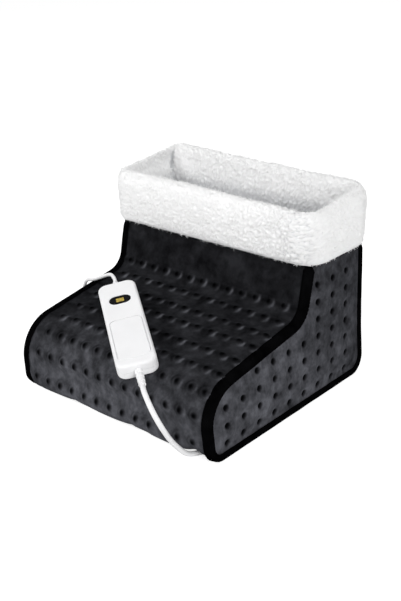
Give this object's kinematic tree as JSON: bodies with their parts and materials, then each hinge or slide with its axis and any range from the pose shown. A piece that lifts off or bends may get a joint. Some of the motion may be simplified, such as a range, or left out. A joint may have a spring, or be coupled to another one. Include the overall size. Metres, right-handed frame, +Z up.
{
  "type": "electric foot warmer",
  "caption": "Boot-shaped electric foot warmer for both feet, in dark quilted velvet with a white fleece cuff, a padded sole with a heating wire, and a white hand controller on leads.",
  "frame": {"origin": "the middle of the footprint, on the floor, leads and plug left out", "axes": "+Z up, toes and controller towards -Y, heel towards +Y, +X to the wearer's left as seen from the toes"},
  "size_m": [0.3656, 0.463, 0.2508],
  "materials": {
    "quilted_velvet": "short-pile velvet, quilted with pressed dots",
    "plain_velvet": "plain short-pile velvet",
    "binding_tape": "folded woven tape",
    "sole_cloth": "plain woven cloth",
    "white_fleece": "curly long-pile fleece",
    "foam": "open-cell foam",
    "heater_felt": "needle felt",
    "heating_wire": "silicone insulation",
    "white_plastic": "satin moulded",
    "white_lead": "smooth insulation",
    "black_window": "polished",
    "amber_display": "lit",
    "circuit_board": "solder mask",
    "black_plastic": "moulded",
    "plated_metal": "nickel plated"
  },
  "bodies": {
    "root": {"front_panel": "quilted_velvet", "neck_band": "plain_velvet", "sole_panel": "sole_cloth", "back_panel": "quilted_velvet", "side_panel_left": "quilted_velvet", "side_panel_right": "quilted_velvet", "binding_left": "binding_tape", "binding_right": "binding_tape", "fleece_cuff": "white_fleece", "lining_front": "white_fleece", "lining_back": "white_fleece", "lining_left": "white_fleece", "lining_right": "white_fleece", "lining_sole": "white_fleece", "sole_foam": "foam", "heater_felt": "heater_felt", "heating_wire": "heating_wire", "thermostat": "black_plastic", "lead_gland": "black_plastic", "controller_back_shell": "white_plastic", "controller_front_shell": "white_plastic", "display_window": "black_window", "level_indicator": "amber_display", "controller_board": "circuit_board", "display_module": "black_plastic", "key_switch_lower": "black_plastic", "key_switch_upper": "black_plastic", "controller_screw_bottom_left": "plated_metal", "controller_screw_bottom_right": "plated_metal", "controller_screw_top_left": "plated_metal", "controller_screw_top_right": "plated_metal", "strain_relief_bottom": "white_plastic", "strain_relief_top": "white_plastic", "boot_lead": "white_lead", "mains_lead": "white_lead", "mains_coil": "white_lead", "plug_tail": "white_lead", "coil_tie": "black_plastic", "plug_relief": "white_plastic", "plug_body": "white_plastic", "plug_pin_left": "plated_metal", "plug_pin_right": "plated_metal"},
    "level_key": {"level_key": "white_plastic"}
  },
  "joints": [
    {"name": "level_key_press", "type": "slide", "parent": "root", "child": "level_key", "axis": [-0.037, 0.2349, -0.9713], "range_m": [0, 0.0015], "stiffness_N_per_m": 400}
  ]
}
